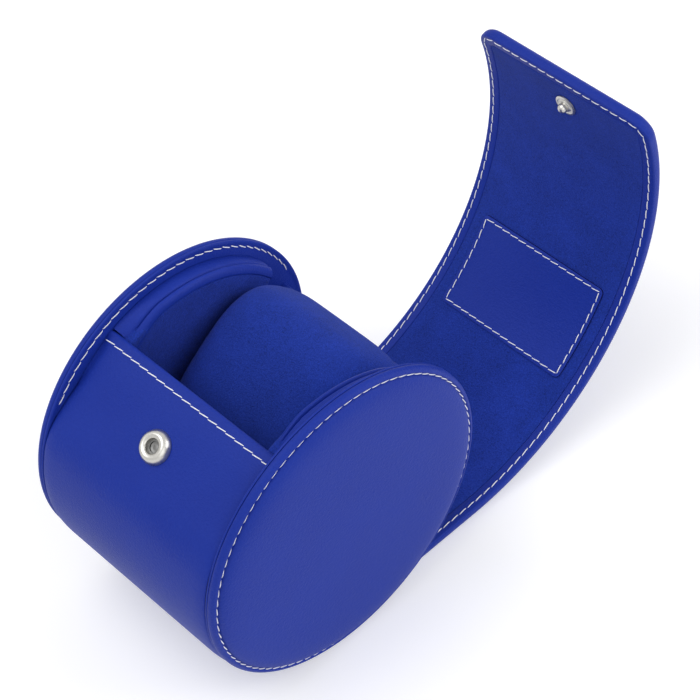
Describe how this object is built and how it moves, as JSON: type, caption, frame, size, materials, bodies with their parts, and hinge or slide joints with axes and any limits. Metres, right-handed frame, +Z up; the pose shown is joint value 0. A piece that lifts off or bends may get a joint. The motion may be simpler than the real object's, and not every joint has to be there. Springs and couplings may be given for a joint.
{
  "type": "watch travel case",
  "caption": "Round padded leather watch case with a lift-out cushion and a long flap that closes over the top with a press stud.",
  "frame": {"origin": "on the floor under the drum's axis, midway between the two round sides", "axes": "+X along the drum's axis, +Y to the back along the open flap, +Z up"},
  "size_m": [0.0752, 0.1764, 0.1051],
  "materials": {
    "leather": "fine-grained satin leather, royal blue",
    "suede": "short-napped suede lining, dark blue",
    "stiff_board": "grey-brown bag board",
    "padding": "open-cell padding foam",
    "nickel": "polished nickel plate",
    "rivet_steel": "plain plated steel"
  },
  "bodies": {
    "case": {"wrap_leather": "leather", "wrap_foam": "padding", "shell_board": "stiff_board", "compartment_lining": "suede", "rear_wall_cover": "leather", "left_flange_leather": "leather", "left_disc_board": "stiff_board", "left_disc_foam": "padding", "left_disc_cover": "leather", "left_side_pad": "padding", "left_side_lining": "suede", "left_collar_trim": "leather", "right_flange_leather": "leather", "right_disc_board": "stiff_board", "right_disc_foam": "padding", "right_disc_cover": "leather", "right_side_pad": "padding", "right_side_lining": "suede", "right_collar_trim": "leather", "socket_cap": "nickel", "socket_spring": "rivet_steel", "socket_rivet": "rivet_steel"},
    "cushion": {"cushion_core": "padding", "cushion_cover": "suede"},
    "flap_1": {"flap_cover_1": "leather", "flap_board_1": "stiff_board", "flap_lining_1": "suede"},
    "flap_2": {"flap_cover_2": "leather", "flap_board_2": "stiff_board", "flap_lining_2": "suede"},
    "flap_3": {"flap_cover_3": "leather", "flap_board_3": "stiff_board", "flap_lining_3": "suede"},
    "flap_4": {"flap_cover_4": "leather", "flap_board_4": "stiff_board", "flap_lining_4": "suede"},
    "flap_5": {"flap_cover_5": "leather", "flap_board_5": "stiff_board", "flap_lining_5": "suede"},
    "flap_6": {"flap_cover_6": "leather", "flap_board_6": "stiff_board", "flap_lining_6": "suede", "label_patch_lower": "leather"},
    "flap_7": {"flap_cover_7": "leather", "flap_board_7": "stiff_board", "flap_lining_7": "suede", "label_patch_upper": "leather"},
    "flap_8": {"flap_cover_8": "leather", "flap_board_8": "stiff_board", "flap_lining_8": "suede"},
    "flap_9": {"flap_cover_9": "leather", "flap_board_9": "stiff_board", "flap_lining_9": "suede"},
    "flap_10": {"flap_cover_10": "leather", "flap_board_10": "stiff_board", "flap_lining_10": "suede", "snap_stud": "nickel", "stud_rivet": "rivet_steel"}
  },
  "joints": [
    {"name": "cushion_lift", "type": "slide", "parent": "case", "child": "cushion", "axis": [0, 0, 1], "range_m": [0, 0.1]},
    {"name": "lid_swing", "type": "hinge", "parent": "case", "child": "flap_1", "pos_m": [0, 0.008, 0.0016], "axis": [1, 0, 0], "range_deg": [0, 20.9]},
    {"name": "lid_bend_2", "type": "hinge", "parent": "flap_1", "child": "flap_2", "pos_m": [0, 0.02243, 0.0016], "axis": [1, 0, 0], "range_deg": [0, 15.05]},
    {"name": "lid_bend_3", "type": "hinge", "parent": "flap_2", "child": "flap_3", "pos_m": [0, 0.03687, 0.0016], "axis": [1, 0, 0], "range_deg": [0, 15.05]},
    {"name": "lid_bend_4", "type": "hinge", "parent": "flap_3", "child": "flap_4", "pos_m": [0, 0.0513, 0.0016], "axis": [1, 0, 0], "range_deg": [0, 15.05]},
    {"name": "lid_bend_5", "type": "hinge", "parent": "flap_4", "child": "flap_5", "pos_m": [0, 0.07197, 0.00449], "axis": [1, 0, 0], "range_deg": [0, 10.98]},
    {"name": "lid_bend_6", "type": "hinge", "parent": "flap_5", "child": "flap_6", "pos_m": [0, 0.09104, 0.01294], "axis": [1, 0, 0], "range_deg": [0, 10.98]},
    {"name": "lid_bend_7", "type": "hinge", "parent": "flap_6", "child": "flap_7", "pos_m": [0, 0.10707, 0.02631], "axis": [1, 0, 0], "range_deg": [0, 10.98]},
    {"name": "tab_press", "type": "hinge", "parent": "flap_7", "child": "flap_8", "pos_m": [0, 0.11881, 0.04355], "axis": [1, 0, 0], "range_deg": [0, 5.82]},
    {"name": "tab_bend_9", "type": "hinge", "parent": "flap_8", "child": "flap_9", "pos_m": [0, 0.12537, 0.06336], "axis": [1, 0, 0], "range_deg": [0, 5.84]},
    {"name": "tab_bend_10", "type": "hinge", "parent": "flap_9", "child": "flap_10", "pos_m": [0, 0.12624, 0.08421], "axis": [1, 0, 0], "range_deg": [0, 5.84]}
  ],
  "couplings": [
    {"joint": "lid_bend_2", "follows": "lid_swing", "ratio": 0.71914},
    {"joint": "lid_bend_3", "follows": "lid_swing", "ratio": 0.71914},
    {"joint": "lid_bend_4", "follows": "lid_swing", "ratio": 0.71914},
    {"joint": "lid_bend_5", "follows": "lid_swing", "ratio": 0.5244},
    {"joint": "lid_bend_6", "follows": "lid_swing", "ratio": 0.5244},
    {"joint": "lid_bend_7", "follows": "lid_swing", "ratio": 0.5244},
    {"joint": "tab_bend_9", "follows": "tab_press", "ratio": 1},
    {"joint": "tab_bend_10", "follows": "tab_press", "ratio": 1}
  ]
}
